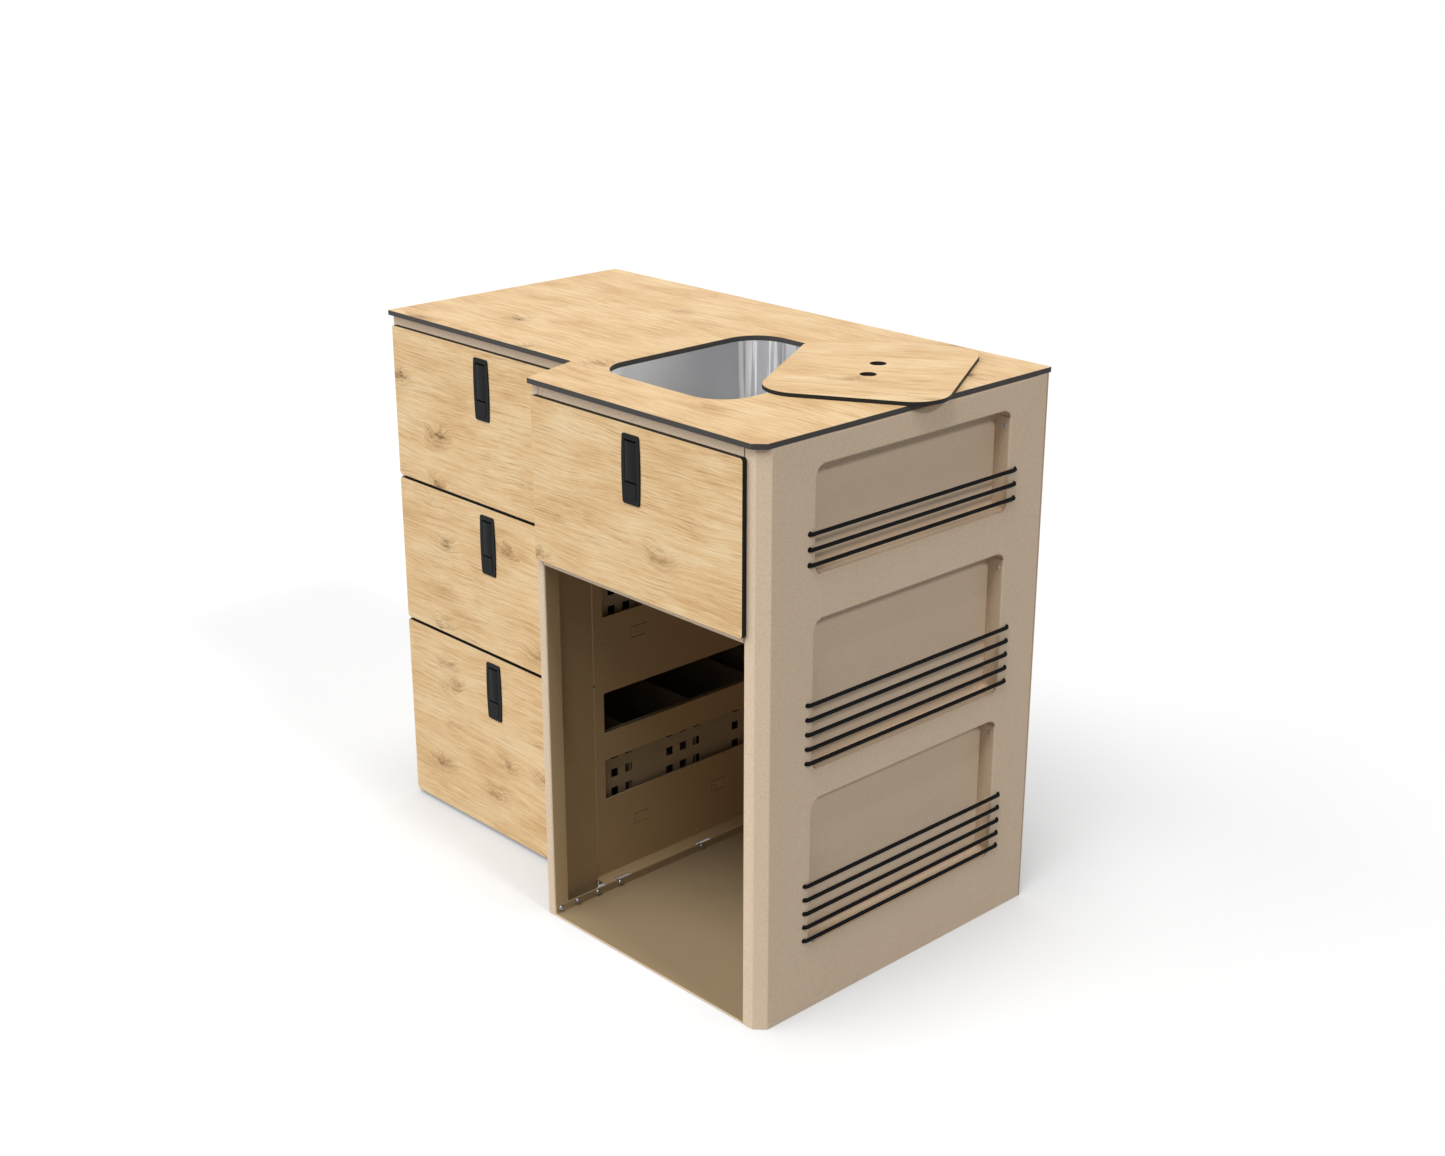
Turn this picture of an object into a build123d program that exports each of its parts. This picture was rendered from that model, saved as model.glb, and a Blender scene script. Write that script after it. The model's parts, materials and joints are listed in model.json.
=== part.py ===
from build123d import *
from math import atan, cos, pi, radians, tan
import os

# Campervan kitchen pod. Millimetres, +Z up, fronts facing -Y, floor at z = 0.
# The origin lies on the floor under the middle of the worktop.

# Sheet metal and general fits
sheet = 1.5
thin_sheet = 1.2
inner_bend = 1.5
flange = 25
front_flange = 11.5
seam = 0.5
fit = 0.2
overrun = 5
edge_ease = 0.4

# Worktop
top_height = 900
worktop_width = 1015
worktop_depth = 618
worktop_thickness = 8
worktop_corner = 2
corner_cut = 16
step_depth = 112
step_lean = 32
step_fillet = 6

# Sink opening, lid and bowl
cutout_width = 281
cutout_length = 346
cutout_radius = 60
cutout_from_right = 188
cutout_from_front = 108.5
lid_clearance = 1.5
lid_thickness = 6
lid_turn = 30
lid_from_right = 161.5
lid_from_front = 395.4
finger_hole_radius = 12.5
finger_hole_pitch = 67.5
bowl_reveal = 1
bowl_wall = 1
bowl_depth = 122
bowl_draft = 2
bowl_floor_radius = 25
bowl_rim = 14
bowl_rim_thickness = 1.2

# Waste fitting and elbow under the bowl
waste_radius = 21.8
waste_wall = 3
waste_flange_radius = 31
waste_flange_thickness = 1.5
waste_drop = 24
waste_nut_radius = 29
waste_nut_height = 8
strainer_hole_radius = 2.5
strainer_ring = 12
strainer_holes = 8
thread_gap = 0.1
elbow_wall = 4
elbow_overlap = 13
elbow_height = 33
spigot_radius = 12.5
spigot_wall = 2
spigot_reach = 62

# Screws
screw_radius = 2.5
screw_head_radius = 4.75
screw_head_height = 2.7
screw_head_round = 1.8
screw_socket_radius = 1.7
screw_socket_depth = 1.5
screw_bite = 5
screw_gap = 0.05
top_screw_shares = (0.12, 0.5, 0.88)

# Clips that hold the bowl's rim
clip_width = 16
clip_thickness = 1.5
clip_inner = 10
clip_outer = 10
clip_screw_out = 5
clip_side_shares = (-0.25, 0.25)

# Carcass
front_thickness = 8
front_seat = 0.4
back_overhang = 6
side_overhang = 2
end_return = 37.6
end_return_depth = 20
end_chamfer = 16
end_chamfer_angle = 45
bay_width = 439.4
upright_width = 17
upright_depth = 28
upright_lean = 8
upright_gap = 0.8
toe_height = 15
toe_reach = 99.6
partition_ledge_top = 17
ledge_lead = 3.4
tray_upstand = 15
floor_upturn = 30
floor_front_upturn = 25
ceiling_drop = 10.4
ceiling_flange = 25
ceiling_side_flange = 20
rail_depth = 20
rail_height = 20
rail_lap = 8
bracket_height = 50
tongue_height = 44
bracket_back_gap = 41.6

# Pocket openings in the end panel, their trays and cords
pocket_front = 110
pocket_from_back = 93
pocket_low_shares = {"upper": 0.7689, "middle": 0.4367, "lower": 0.12}
pocket_high_shares = {"upper": 0.9444, "middle": 0.6933, "lower": 0.3833}
pocket_radius = 12
pocket_land = 10
pocket_fold = 20
rivet_radius = 1.5
rivet_head_radius = 3
rivet_head_height = 1.2
rivet_head_round = 0.8
rivet_drop = 26
tray_depth = 30
cord_radius = 3
cord_arc = 6
cord_straight = 0.4
cord_pitch = 22.7
cord_row_counts = {"upper": 3, "middle": 5, "lower": 5}
cord_lifts = {"upper": 17.5, "middle": 15, "lower": 11.4}
cord_hole_radius = 4.2
cord_hole_shift = 0.9
cord_hole_out = 13
cord_hole_back_out = 16.5
knot_radius = 5.5

# Partition: long slots, runner hooks and small holes
slot_low_shares = (0.1728, 0.305, 0.5306)
slot_height = 71
slot_front = 21.6
slot_back = 22.5
slot_radius = 3
hook_first = 82.6
hook_pitch = 178
hook_length = 33
hook_height = 20
hook_line = 1.6
hook_hole_radius = 2
hook_hole_in = 9.5
small_hole_radius = 1.8
small_hole_shares = ((0.043, 0.488), (0.043, 0.111), (0.46, 0.031), (0.153, 0.03), (0.005, 0.407))
ledge_slot_fronts = (17.6, 201.6)
ledge_slot_length = 33
ledge_slot_width = 4.5
upstand_screws = (11.6, 46.6, 90.2, 138.6, 324.6)

# Service cut-out in the back, behind the bowl
service_width = 220
service_height = 130
service_radius = 12
service_low_share = 0.7333

# Holes that bolt the left floor to the vehicle
floor_bolt_radius = 4.5
floor_bolt_share_x = 0.78771
floor_bolt_share_y = 0.78496

# Drawer fronts
front_corner = 5
front_side_gap = 8
front_floor_gap = 8
front_gap = 5
front_top_gap = 16
right_front_lap = 5.6
lower_front_share = 0.39044
middle_front_share = 0.30303
right_front_share = 0.28778

# Drawer boxes
box_back_gap = 40.5
box_lift_shares = {
    "left_upper": 0.2433,
    "left_middle": 0.2462,
    "left_lower": 0.197,
    "right": 0.0656,
}
box_height_shares = {
    "left_upper": 0.5095,
    "left_middle": 0.5154,
    "left_lower": 0.5866,
    "right": 0.3089,
}
box_hem = 10
box_hole = 15
box_hole_pitch_share = 0.0684
box_hole_pitch_z = 33.8
box_hole_first_share = 0.0342
box_hole_group = 5
box_hole_columns = 3
box_hole_groups = 3
box_hole_lift_shares = {
    "left_upper": 0.5,
    "left_middle": 0.5,
    "left_lower": 0.4132,
    "right": 0.7875,
}
box_hole_row_counts = {"left_upper": 2, "left_middle": 2, "left_lower": 3, "right": 1}
divider_first_share = 0.1978
divider_pitch_share = 0.3311
divider_count = 3

# Runners: three nested channels on each side of a drawer
runner_height = 45
runner_width = 12.7
runner_wall = 1.2
runner_bend = 0.6
runner_play = 0.3
runner_web_gap = 0.8
runner_lip_back = 3.2
runner_lift = 24
runner_setback = 3.2
runner_notch = 1.5

# Handle: bezel, lever, button and latch bolt
bezel_width = 36
bezel_bulge = 2
bezel_height = 104
bezel_proud = 2
bezel_corner = 4
bezel_drop = 14
housing_width = 29
housing_height = 94
housing_depth = 24
housing_wall = 2
window_drop = 8
window_bottom = 98
lever_width = 24.5
lever_top = 10.5
lever_thickness = 5.2
lever_proud = 1.2
lever_crown = 1.5
barrel_radius = 5.7
trunnion_radius = 2
trunnion_gap = 0.06
trunnion_drop = 66
trunnion_reach = 14.2
button_width = 23
button_top = 72
button_bottom = 97.4
button_corner = 7.5
button_gap = 0.3
button_skirt = 24.6
button_depth = 10
button_dish = 0.6
bolt_width = 12
bolt_thickness = 4
bolt_setback = 17.7
bolt_tip_rise = 4.5
bolt_length = 60
bolt_nose = 2
strike_margin = 1

# Reference planes worked out from the sizes above
right_edge = worktop_width / 2
left_edge = -right_edge
back_edge = worktop_depth / 2
front_edge = -back_edge
top_underside = top_height - worktop_thickness
half = sheet / 2
bend_radius = inner_bend + half
bend_zone = inner_bend + sheet
metal_right_y = front_edge + front_thickness + front_seat
metal_left_y = metal_right_y + step_depth
left_front_y = front_edge + step_depth
back_face = back_edge - back_overhang
panel_end = back_face - sheet
end_face = right_edge
side_face = left_edge + side_overhang
bay_right = end_face - end_return
bay_left = bay_right - bay_width
upright_left = bay_left - upright_width
partition_face = upright_left - upright_lean
sink_x = right_edge - cutout_from_right - cutout_width / 2
sink_y = front_edge + cutout_from_front + cutout_length / 2
tray_back = end_face - tray_depth - thin_sheet
fronts_top = top_underside - front_top_gap
right_front_height = right_front_share * top_height
right_front_low = fronts_top - right_front_height
ceiling_z = right_front_low - ceiling_drop
bracket_z = right_front_low + box_lift_shares["right"] * right_front_height + runner_lift
sheet_ends = panel_end - bend_zone
box_depth = panel_end - box_back_gap - left_front_y - front_thickness
pocket_back = worktop_depth - pocket_from_back
pocket_lows = {name: share * top_height for name, share in pocket_low_shares.items()}
pocket_highs = {name: share * top_height for name, share in pocket_high_shares.items()}


# Basic shapes
def block(low, high):
    size = [b - a for a, b in zip(low, high)]
    return Pos(*low) * Box(*size, align=(Align.MIN, Align.MIN, Align.MIN))


def rod(start, direction, radius, length):
    return extrude(Plane(origin=start, z_dir=direction) * Circle(radius), length)


def folded_about_z(points, low, high, thickness=sheet, radius=bend_radius):
    profile = trace(FilletPolyline(*points, radius=radius), thickness)
    return extrude(Pos(0, 0, low) * profile, high - low)


def folded_about_x(points, low, high):
    profile = trace(FilletPolyline(*points, radius=bend_radius), sheet)
    return extrude(Plane.YZ.offset(low) * profile, high - low)


def folded_about_y(points, low, high, thickness=sheet, radius=bend_radius):
    profile = trace(FilletPolyline(*points, radius=radius), thickness)
    return extrude(Plane.XZ.offset(-low) * profile, low - high)


def window_x(x_low, x_high, low, high, radius):
    # a rounded prism along X between two corners (y, z)
    sketch = RectangleRounded(high[0] - low[0], high[1] - low[1], radius)
    middle = Pos((low[0] + high[0]) / 2, (low[1] + high[1]) / 2)
    return extrude(Plane.YZ.offset(x_low) * middle * sketch, x_high - x_low)


def window_y(y_low, y_high, low, high, radius):
    # a rounded prism along Y between two corners (x, z)
    sketch = RectangleRounded(high[0] - low[0], high[1] - low[1], radius)
    middle = Pos((low[0] + high[0]) / 2, (low[1] + high[1]) / 2)
    return extrude(Plane.XZ.offset(-y_low) * middle * sketch, y_low - y_high)


def button_screw(seat, outward, grip):
    # a button-head screw whose head rests on the seat and whose shank runs the other way
    head = extrude(Circle(screw_head_radius), screw_head_height)
    head = fillet(head.faces().sort_by(Axis.Z)[-1].edges(), screw_head_round)
    socket = extrude(RegularPolygon(screw_socket_radius, 6), screw_socket_depth)
    head = head - Pos(0, 0, screw_head_height - screw_socket_depth) * socket
    shank = extrude(Circle(screw_radius), -grip)
    return Plane(origin=seat, z_dir=outward).location * (head + shank)


def top_flange(panel, face, inward, low, high):
    # folds the upper edge of an upright panel inwards between two places along Y
    mid = face + inward * half
    points = [
        (mid, top_underside - flange),
        (mid, top_underside - half),
        (face + inward * flange, top_underside - half),
    ]
    cut = block(
        (face - overrun, low, top_underside - bend_zone),
        (face + overrun, high, top_underside + overrun),
    )
    return panel - cut + folded_about_y(points, low, high)


# Places of the screws that hold the worktop: (panel face, inward direction)
top_flange_low = metal_left_y + flange
top_flange_high = panel_end - flange
top_flange_faces = ((side_face, 1), (partition_face, -1), (end_face, -1))


def top_screw_places():
    run = top_flange_high - top_flange_low
    places = []
    for face, inward in top_flange_faces:
        for share in top_screw_shares:
            places.append((face + inward * flange / 2, top_flange_low + share * run))
    return places


def clip_places():
    # (x, y, direction away from the bowl) of each clip at the rim's edge
    reach_x = cutout_width / 2 + bowl_reveal + bowl_wall + bowl_rim
    reach_y = cutout_length / 2 + bowl_reveal + bowl_wall + bowl_rim
    places = []
    for share in clip_side_shares:
        places.append((sink_x + reach_x, sink_y + share * cutout_length, 0))
        places.append((sink_x - reach_x, sink_y + share * cutout_length, 180))
    places.append((sink_x, sink_y + reach_y, 90))
    places.append((sink_x, sink_y - reach_y, -90))
    return places


def clip_screw_place(place):
    x, y, turn = place
    out = Vector(clip_screw_out, 0, 0).rotate(Axis.Z, turn)
    return (x + out.X, y + out.Y)


def pilot_hole(x, y, depth):
    return rod((x, y, top_underside), (0, 0, 1), screw_radius + screw_gap, depth)


# Worktop, lid and sink
def make_worktop():
    step_x = upright_left
    outline = Polyline(
        (right_edge - corner_cut, front_edge),
        (right_edge, front_edge + corner_cut),
        (right_edge, back_edge),
        (left_edge, back_edge),
        (left_edge, left_front_y),
        (step_x - step_lean, left_front_y),
        (step_x, front_edge),
        close=True,
    )
    slab = extrude(Pos(0, 0, top_underside) * make_face(outline), worktop_thickness)
    inner = (step_x - step_lean, left_front_y, top_height)
    uprights = slab.edges().filter_by(Axis.Z).sort_by_distance(inner)
    slab = fillet(uprights[0], step_fillet)
    uprights = slab.edges().filter_by(Axis.Z).sort_by_distance(inner)
    slab = fillet(uprights[2:], worktop_corner)
    opening = RectangleRounded(cutout_width, cutout_length, cutout_radius)
    slab = slab - extrude(Pos(sink_x, sink_y, top_underside) * opening, worktop_thickness)
    slab = chamfer(slab.faces().sort_by(Axis.Z)[-1].edges(), edge_ease)
    pilots = [pilot_hole(x, y, screw_bite) for x, y in top_screw_places()]
    pilots += [pilot_hole(*clip_screw_place(place), screw_bite) for place in clip_places()]
    return slab - pilots


def make_sink_lid():
    width = cutout_width - 2 * lid_clearance
    length = cutout_length - 2 * lid_clearance
    plate = extrude(
        RectangleRounded(width, length, cutout_radius - lid_clearance), lid_thickness
    )
    for side in (-1, 1):
        hole = extrude(Circle(finger_hole_radius), lid_thickness)
        plate = plate - Pos(0, side * finger_hole_pitch / 2) * hole
    plate = chamfer(plate.faces().sort_by(Axis.Z)[-1].edges(), edge_ease)
    place = Pos(right_edge - lid_from_right, front_edge + lid_from_front, top_height)
    return place * Rot(0, 0, lid_turn) * plate


def bowl_form(grow, depth, floor_radius):
    width = cutout_width + 2 * (bowl_reveal + grow)
    length = cutout_length + 2 * (bowl_reveal + grow)
    radius = cutout_radius + bowl_reveal + grow
    form = extrude(RectangleRounded(width, length, radius), -depth, taper=bowl_draft)
    return fillet(form.faces().sort_by(Axis.Z)[0].edges(), floor_radius)


def make_sink_bowl():
    rim_grow = bowl_reveal + bowl_wall + bowl_rim
    rim = extrude(
        RectangleRounded(
            cutout_width + 2 * rim_grow, cutout_length + 2 * rim_grow, cutout_radius + rim_grow
        ),
        -bowl_rim_thickness,
    )
    shell = bowl_form(bowl_wall, bowl_depth + bowl_wall, bowl_floor_radius + bowl_wall)
    shell = shell + rim - bowl_form(0, bowl_depth, bowl_floor_radius)
    outlet = Pos(0, 0, -bowl_depth - bowl_wall) * extrude(
        Circle(waste_radius + thread_gap), bowl_wall
    )
    return Pos(sink_x, sink_y, top_underside) * (shell - outlet)


bowl_floor = top_underside - bowl_depth
bowl_under = bowl_floor - bowl_wall
waste_end = bowl_under - waste_drop


def make_sink_waste():
    centre = (sink_x, sink_y, bowl_floor)
    up = (0, 0, 1)
    down = (0, 0, -1)
    length = bowl_floor - waste_end
    body = rod(centre, up, waste_flange_radius, waste_flange_thickness)
    body = body + rod(centre, down, waste_radius, length)
    bore_top = (sink_x, sink_y, bowl_floor - waste_flange_thickness)
    body = body - rod(bore_top, down, waste_radius - waste_wall, length)
    for step in range(strainer_holes):
        out = Vector(strainer_ring, 0, 0).rotate(Axis.Z, step * 360 / strainer_holes)
        low = (sink_x + out.X, sink_y + out.Y, bowl_floor - waste_flange_thickness)
        body = body - rod(low, up, strainer_hole_radius, 2 * waste_flange_thickness)
    nut_top = (sink_x, sink_y, bowl_under)
    nut = rod(nut_top, down, waste_nut_radius, waste_nut_height)
    nut = nut - rod(nut_top, down, waste_radius + thread_gap, waste_nut_height)
    return [body, nut]


def make_waste_elbow():
    down = (0, 0, -1)
    top = waste_end + elbow_overlap
    start = (sink_x, sink_y, top)
    outer = waste_radius + elbow_wall
    spigot_z = top - elbow_height + spigot_radius
    spigot_start = (sink_x, sink_y, spigot_z)
    back = (0, 1, 0)
    body = rod(start, down, outer, elbow_height)
    body = body + rod(spigot_start, back, spigot_radius, spigot_reach)
    body = body - rod(start, down, waste_radius + thread_gap, elbow_overlap)
    body = body - rod(start, down, waste_radius - waste_wall, elbow_height - elbow_wall)
    return body - rod(spigot_start, back, spigot_radius - spigot_wall, spigot_reach)


def make_sink_clips():
    clips = []
    for place in clip_places():
        x, y, turn = place
        under = -bowl_rim_thickness - clip_thickness
        inner = block(
            (-clip_inner, -clip_width / 2, under),
            (clip_thickness, clip_width / 2, -bowl_rim_thickness),
        )
        outer = block((fit, -clip_width / 2, -clip_thickness), (clip_outer, clip_width / 2, 0))
        clip = inner + outer
        screw = button_screw((clip_screw_out, 0, -clip_thickness), (0, 0, -1), screw_bite)
        clip = clip + screw
        clips.append(Pos(x, y, top_underside) * Rot(0, 0, turn) * clip)
    return clips


# End panel, its pocket trays and its cords
def lifted(z_low, rows, lift):
    return [z_low + lift + row * cord_pitch for row in range(rows)]


def pocket_edges(low, high):
    # the four folded edges of one window and the strips they replace
    front = front_edge + pocket_front
    back = front_edge + pocket_back
    mid = end_face - half
    deep = end_face - pocket_fold
    out_low = end_face - sheet
    out_high = end_face + overrun
    strips = []
    folds = []
    for edge, way in ((low, -1), (high, 1)):
        points = [
            (mid, edge + way * (bend_zone + pocket_land)),
            (mid, edge + way * half),
            (deep, edge + way * half),
        ]
        folds.append(folded_about_y(points, front + pocket_radius, back - pocket_radius))
        ends = sorted((edge, edge + way * bend_zone))
        strips.append(
            block(
                (out_low - overrun, front + pocket_radius, ends[0]),
                (out_high, back - pocket_radius, ends[1]),
            )
        )
    for edge, way in ((front, -1), (back, 1)):
        points = [
            (mid, edge + way * (bend_zone + pocket_land)),
            (mid, edge + way * half),
            (deep, edge + way * half),
        ]
        folds.append(folded_about_z(points, low + pocket_radius, high - pocket_radius))
        ends = sorted((edge, edge + way * bend_zone))
        strips.append(
            block(
                (out_low - overrun, ends[0], low + pocket_radius),
                (out_high, ends[1], high - pocket_radius),
            )
        )
    return strips, folds


def make_end_panel():
    shift = half * tan(radians(end_chamfer_angle) / 2)
    points = [
        (bay_right + half, metal_right_y + end_return_depth),
        (bay_right + half, metal_right_y + half),
        (end_face - end_chamfer - shift, metal_right_y + half),
        (end_face - half, metal_right_y + end_chamfer + shift),
        (end_face - half, panel_end - half),
        (end_face - flange, panel_end - half),
    ]
    panel = folded_about_z(points, 0, top_underside)
    panel = top_flange(panel, end_face, -1, top_flange_low, top_flange_high)
    front = front_edge + pocket_front
    back = front_edge + pocket_back
    inside = end_face - sheet - overrun
    outside = end_face + overrun
    for name, low in pocket_lows.items():
        high = pocket_highs[name]
        panel = panel - window_x(inside, outside, (front, low), (back, high), pocket_radius)
        strips, folds = pocket_edges(low, high)
        panel = panel - strips
        for fold in folds:
            panel = panel + fold
        x, y, z = rivet_place(name)
        panel = panel - rod((x, y - overrun, z), (0, 1, 0), rivet_radius + fit, 2 * overrun)
        for z in lifted(low, cord_row_counts[name], cord_lifts[name]):
            near, far = cord_ends()
            for y in (near + cord_hole_shift, far - cord_hole_shift):
                panel = panel - rod((inside, y, z), (1, 0, 0), cord_hole_radius, 3 * overrun)
    for x, y in top_screw_places():
        if x > bay_right:
            panel = panel - screw_hole(x, y)
    return panel


def rivet_place(name):
    x = end_face - pocket_fold / 2
    return x, front_edge + pocket_back, pocket_highs[name] - rivet_drop


def pocket_rivet(name):
    head = extrude(Circle(rivet_head_radius), rivet_head_height)
    head = fillet(head.faces().sort_by(Axis.Z)[-1].edges(), rivet_head_round)
    shank = extrude(Circle(rivet_radius), -sheet)
    return Plane(origin=rivet_place(name), z_dir=(0, -1, 0)).location * (head + shank)


def screw_hole(x, y):
    start = (x, y, top_underside - sheet - overrun)
    return rod(start, (0, 0, 1), screw_radius + fit, 2 * overrun + sheet)


def cord_ends():
    return (
        front_edge + pocket_front - cord_hole_out,
        front_edge + pocket_back + cord_hole_back_out,
    )


def make_pocket_tray(name):
    low = pocket_lows[name]
    high = pocket_highs[name]
    front = front_edge + pocket_front
    back = front_edge + pocket_back
    inner = sheet + fit
    outer = inner + thin_sheet
    rim_end = end_face - bend_zone - fit
    shell = window_x(
        tray_back,
        rim_end,
        (front - outer, low - outer),
        (back + outer, high + outer),
        pocket_radius + thin_sheet,
    )
    hollow = window_x(
        tray_back + thin_sheet,
        rim_end + overrun,
        (front - inner, low - inner),
        (back + inner, high + inner),
        pocket_radius,
    )
    return shell - hollow


def cord_route(name):
    out_x = end_face + cord_radius + fit
    in_x = out_x - 2 * cord_arc - cord_straight
    knot_x = end_face - sheet - fit - knot_radius
    rows = lifted(pocket_lows[name], cord_row_counts[name], cord_lifts[name])[::-1]
    near, far = cord_ends()
    points = [(knot_x, near, rows[0])]
    for index, z in enumerate(rows):
        points.append((out_x, near, z))
        points.append((out_x, far, z))
        if index + 1 < len(rows):
            points.append((in_x, far, z))
            points.append((in_x, far, rows[index + 1]))
        near, far = far, near
    points.append((knot_x, near, rows[-1]))
    return points


def make_elastic_cord(name):
    points = cord_route(name)
    path = FilletPolyline(*points, radius=cord_arc)
    section = Plane(origin=points[0], z_dir=(1, 0, 0)) * Circle(cord_radius)
    cord = sweep(section, path=path)
    expected = pi * cord_radius**2 * path.length
    print("cord", name, "length", round(path.length), "arc radius", cord_arc)
    print("cord", name, "volume", round(cord.volume), "section by length", round(expected))
    for end in (points[0], points[-1]):
        cord = cord + Pos(*end) * Sphere(knot_radius)
    return cord


# Left module
def runner_notches(x_low, x_high):
    cuts = []
    for name in ("left_upper", "left_middle", "left_lower"):
        middle = drawers[name].runner_z
        reach = runner_height / 2 + runner_notch
        cuts.append(
            block(
                (x_low, metal_left_y - overrun, middle - reach),
                (x_high, metal_left_y + sheet + inner_bend, middle + reach),
            )
        )
    return cuts


def runner_hooks(x_low, x_high):
    # bracket-shaped cuts round each hook, and the hole beside it
    cuts = []
    for name in ("left_upper", "left_middle", "left_lower"):
        z = drawers[name].runner_z
        for step in (0, 1):
            y = metal_left_y + hook_first + step * hook_pitch
            low = z - hook_height / 2
            high = z + hook_height / 2
            cuts.append(block((x_low, y, low), (x_high, y + hook_line, high)))
            cuts.append(block((x_low, y, low), (x_high, y + hook_length, low + hook_line)))
            cuts.append(block((x_low, y, high - hook_line), (x_high, y + hook_length, high)))
            cuts.append(
                rod((x_low, y + hook_hole_in, z), (1, 0, 0), hook_hole_radius, x_high - x_low)
            )
    return cuts


def make_left_side_panel():
    points = [
        (side_face + front_flange, metal_left_y + half),
        (side_face + half, metal_left_y + half),
        (side_face + half, panel_end - half),
        (side_face + flange, panel_end - half),
    ]
    panel = folded_about_z(points, 0, top_underside)
    panel = top_flange(panel, side_face, 1, top_flange_low, top_flange_high)
    panel = panel - runner_notches(side_face + bend_zone, side_face + front_flange + overrun)
    panel = panel - runner_hooks(side_face - overrun, side_face + overrun)
    for x, y in top_screw_places():
        if x < side_face + flange:
            panel = panel - screw_hole(x, y)
    return panel


def make_partition_panel():
    points = [
        (partition_face - front_flange, metal_left_y + half),
        (partition_face - half, metal_left_y + half),
        (partition_face - half, panel_end - half),
        (partition_face - flange, panel_end - half),
    ]
    panel = folded_about_z(points, partition_ledge_top + bend_zone, top_underside)
    panel = top_flange(panel, partition_face, -1, top_flange_low, top_flange_high)
    foot = [
        (partition_face - half, partition_ledge_top + flange),
        (partition_face - half, partition_ledge_top - half),
        (bay_left - half, partition_ledge_top - half),
        (bay_left - half, 0),
    ]
    panel = panel + folded_about_y(foot, metal_left_y - ledge_lead, sheet_ends)
    panel = panel - runner_notches(
        partition_face - front_flange - overrun, partition_face - bend_zone
    )
    inside = partition_face - sheet - overrun
    outside = partition_face + overrun
    panel = panel - runner_hooks(inside, outside)
    start = metal_left_y + slot_front
    for share in slot_low_shares:
        low = share * top_height
        corner = (panel_end - slot_back, low + slot_height)
        panel = panel - window_x(inside, outside, (start, low), corner, slot_radius)
    for along, up in small_hole_shares:
        y = metal_left_y + along * (panel_end - metal_left_y)
        centre = (inside, y, up * top_underside)
        panel = panel - rod(centre, (1, 0, 0), small_hole_radius, outside - inside)
    for front in ledge_slot_fronts:
        y = metal_left_y + front
        low = (bay_left - ledge_slot_width, y, partition_ledge_top - 2 * sheet)
        high = (bay_left + overrun, y + ledge_slot_length, partition_ledge_top + overrun)
        panel = panel - block(low, high)
    for along in upstand_screws:
        panel = panel - upstand_hole(along)
    for x, y in top_screw_places():
        if partition_face - flange < x < partition_face:
            panel = panel - screw_hole(x, y)
    return panel


def upstand_hole(along):
    start = (bay_left - overrun, metal_right_y + along, (tray_upstand + screw_head_radius) / 2)
    return rod(start, (1, 0, 0), screw_radius + fit, 2 * overrun)


def make_left_floor_panel():
    inner_left = side_face + sheet + fit
    inner_right = partition_face - sheet
    front = metal_left_y + bend_zone
    plate = block((inner_left, front, 0), (inner_right - bend_zone, sheet_ends, sheet))
    side = [
        (inner_right - half, floor_upturn),
        (inner_right - half, half),
        (inner_right - floor_upturn, half),
    ]
    nose = [
        (metal_left_y + half, floor_front_upturn),
        (metal_left_y + half, half),
        (metal_left_y + floor_front_upturn, half),
    ]
    panel = plate + folded_about_y(side, front, sheet_ends)
    nose_right = partition_face - front_flange - seam
    panel = panel + folded_about_x(nose, side_face + front_flange + seam, nose_right)
    centre_x = (inner_left + inner_right) / 2
    centre_y = (front + sheet_ends) / 2
    reach_x = floor_bolt_share_x * (inner_right - inner_left) / 2
    reach_y = floor_bolt_share_y * (sheet_ends - front) / 2
    for side_x in (-1, 1):
        for side_y in (-1, 1):
            x = centre_x + side_x * reach_x
            y = centre_y + side_y * reach_y
            panel = panel - rod((x, y, -overrun), (0, 0, 1), floor_bolt_radius, 3 * overrun)
    print("floor bolts centred at", centre_x, centre_y, "apart", 2 * reach_x, 2 * reach_y)
    return panel


def make_back_panel():
    panel = block((side_face, panel_end, 0), (end_face, back_face, top_underside))
    service_low = service_low_share * top_height
    low = (sink_x - service_width / 2, service_low)
    high = (sink_x + service_width / 2, service_low + service_height)
    return panel - window_y(panel_end - overrun, back_face + overrun, low, high, service_radius)


# Open bay
def make_bay_floor_tray():
    right = end_face - sheet
    points = [
        (bay_left + half, tray_upstand),
        (bay_left + half, half),
        (right - half, half),
        (right - half, tray_upstand),
    ]
    tray = folded_about_y(points, metal_right_y, sheet_ends - bend_zone)
    back = [
        (sheet_ends - flange, half),
        (sheet_ends - half, half),
        (sheet_ends - half, tray_upstand),
    ]
    tray = tray + folded_about_x(back, bay_left + bend_zone, right - flange)
    corner = block(
        (bay_right - seam, metal_right_y - overrun, -overrun),
        (right + overrun, metal_right_y + end_return_depth + bend_zone, tray_upstand + overrun),
    )
    tray = tray - corner
    for along in upstand_screws:
        tray = tray - upstand_hole(along)
    return tray


def make_bay_ceiling():
    left = partition_face + fit
    right = tray_back - fit
    high = ceiling_z + ceiling_side_flange
    wide_front = metal_left_y
    points = [
        (left + half, high),
        (left + half, ceiling_z + half),
        (right - half, ceiling_z + half),
        (right - half, high),
    ]
    ceiling = folded_about_y(points, wide_front, sheet_ends)
    nose = [
        (metal_right_y + half, ceiling_z + ceiling_flange),
        (metal_right_y + half, ceiling_z + half),
        (wide_front + flange, ceiling_z + half),
    ]
    return ceiling + folded_about_x(nose, bay_left + seam, bay_right - seam)


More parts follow.
